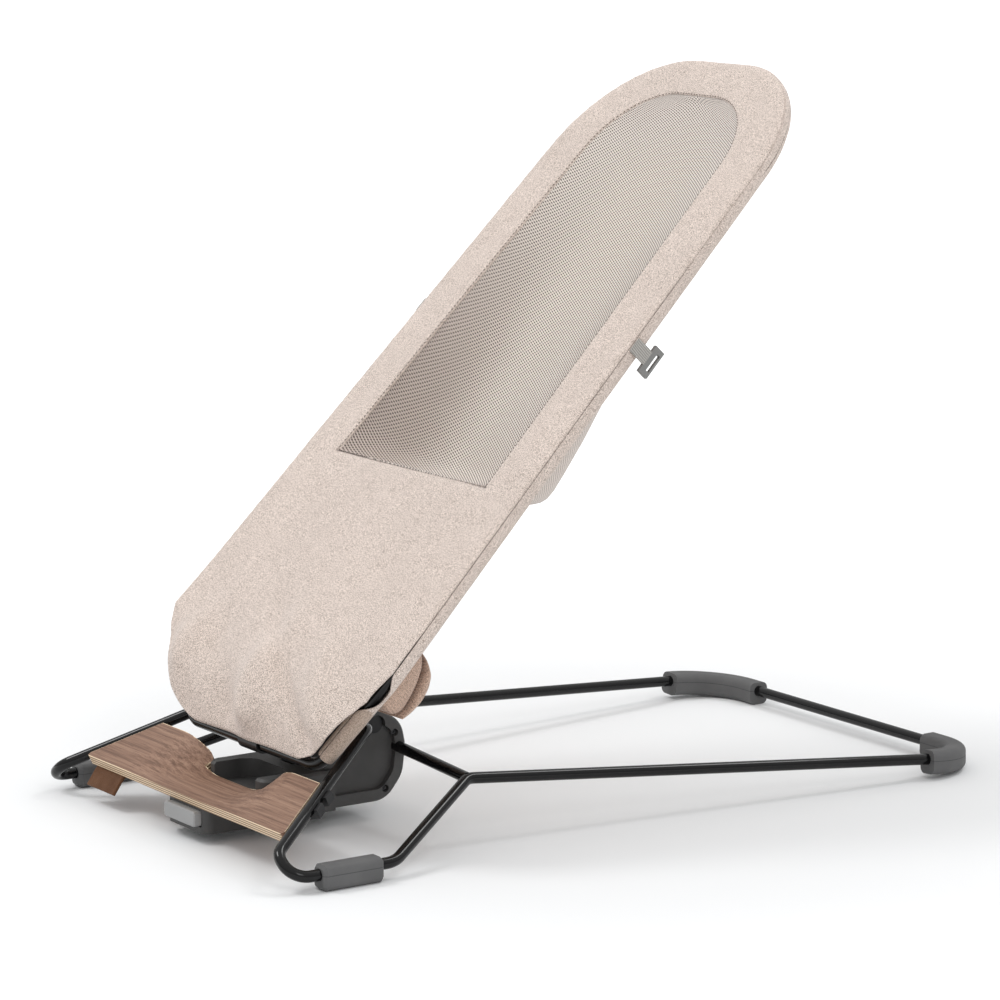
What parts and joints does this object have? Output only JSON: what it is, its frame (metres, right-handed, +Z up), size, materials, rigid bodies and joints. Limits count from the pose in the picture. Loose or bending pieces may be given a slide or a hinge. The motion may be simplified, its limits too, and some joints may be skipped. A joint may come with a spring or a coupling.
{
  "type": "bouncer seat",
  "caption": "Reclining infant bouncer seat: bent black tube base, walnut-faced ply foot plate, central hub with release button, and a fabric seat with a deep netting back.",
  "frame": {"origin": "on the floor under the middle of the bounding box", "axes": "+X across to the side nearer the camera, +Y from the foot end to the head end, +Z up"},
  "size_m": [0.3914, 0.675, 0.5742],
  "materials": {
    "tube_black": "gloss black enamel",
    "foot_rubber": "matt mid grey",
    "hub_plastic": "fine matt dark grey",
    "button_plastic": "satin silver grey",
    "plywood": "oiled walnut face veneer, pale laminated edge",
    "leather": "plain brown",
    "cover_fabric": "pale beige flecked jersey",
    "netting": "open spacer netting",
    "stowed_fabric": "fine ribbed jersey",
    "webbing": "grey woven tape",
    "slot_plastic": "grey",
    "inner_plastic": "natural acetal",
    "steel": "bright zinc plate",
    "carrier_metal": "black"
  },
  "bodies": {
    "base": {"bolt_spring": "steel", "footplate": "plywood", "front_foot_left": "foot_rubber", "front_foot_right": "foot_rubber", "front_leg_left": "tube_black", "front_leg_right": "tube_black", "hub_core": "hub_plastic", "hub_side_left": "hub_plastic", "hub_side_right": "hub_plastic", "pivot_axle": "steel", "pivot_cap_left": "carrier_metal", "pivot_cap_right": "carrier_metal", "plate_clip_front_left": "hub_plastic", "plate_clip_front_right": "hub_plastic", "plate_clip_rear_left": "hub_plastic", "plate_clip_rear_right": "hub_plastic", "pull_strap": "leather", "rear_foot_left": "foot_rubber", "rear_foot_right": "foot_rubber", "rear_tube": "tube_black", "side_tube_left": "tube_black", "side_tube_right": "tube_black", "spigot_front_left": "steel", "spigot_front_right": "steel", "spigot_rear_left": "steel", "spigot_rear_right": "steel", "strut_left": "tube_black", "strut_right": "tube_black"},
    "seat": {"seat_frame": "tube_black", "seat_crossbar": "tube_black", "spigot_seat_left": "steel", "spigot_seat_right": "steel", "seat_carrier": "carrier_metal", "carrier_cap": "carrier_metal", "carrier_bush": "inner_plastic", "lock_sector": "steel", "seat_cover": "cover_fabric", "mesh_hammock": "netting", "rail_sleeve_left": "cover_fabric", "rail_sleeve_right": "cover_fabric", "stowed_flap": "stowed_fabric"},
    "release": {"release_button": "button_plastic", "release_fork": "inner_plastic", "fork_pin": "steel"},
    "lock": {"lock_bolt": "steel"},
    "tab_left": {"webbing_tab_left": "webbing", "slot_plate_left": "slot_plastic"},
    "tab_right": {"webbing_tab_right": "webbing", "slot_plate_right": "slot_plastic"}
  },
  "joints": [
    {"name": "recline", "type": "hinge", "parent": "base", "child": "seat", "pos_m": [0, -0.1655, 0.076], "axis": [1, 0, 0], "range_deg": [-40, 0]},
    {"name": "button_press", "type": "slide", "parent": "base", "child": "release", "axis": [0, 1, 0], "range_m": [0, 0.004], "stiffness_N_per_m": 600},
    {"name": "bolt_drop", "type": "slide", "parent": "base", "child": "lock", "axis": [0, 0, -1], "range_m": [0, 0.004], "deforming": ["bolt_spring"]},
    {"name": "tab_left_swing", "type": "hinge", "parent": "seat", "child": "tab_left", "pos_m": [-0.14889, -0.0018, 0.37405], "axis": [0.0431, 0.7052, 0.7077], "range_deg": [-3, 45]},
    {"name": "tab_right_swing", "type": "hinge", "parent": "seat", "child": "tab_right", "pos_m": [0.14889, -0.0018, 0.37405], "axis": [0.0431, -0.7052, -0.7077], "range_deg": [-3, 45]}
  ],
  "couplings": [
    {"joint": "bolt_drop", "follows": "button_press", "ratio": 1}
  ]
}
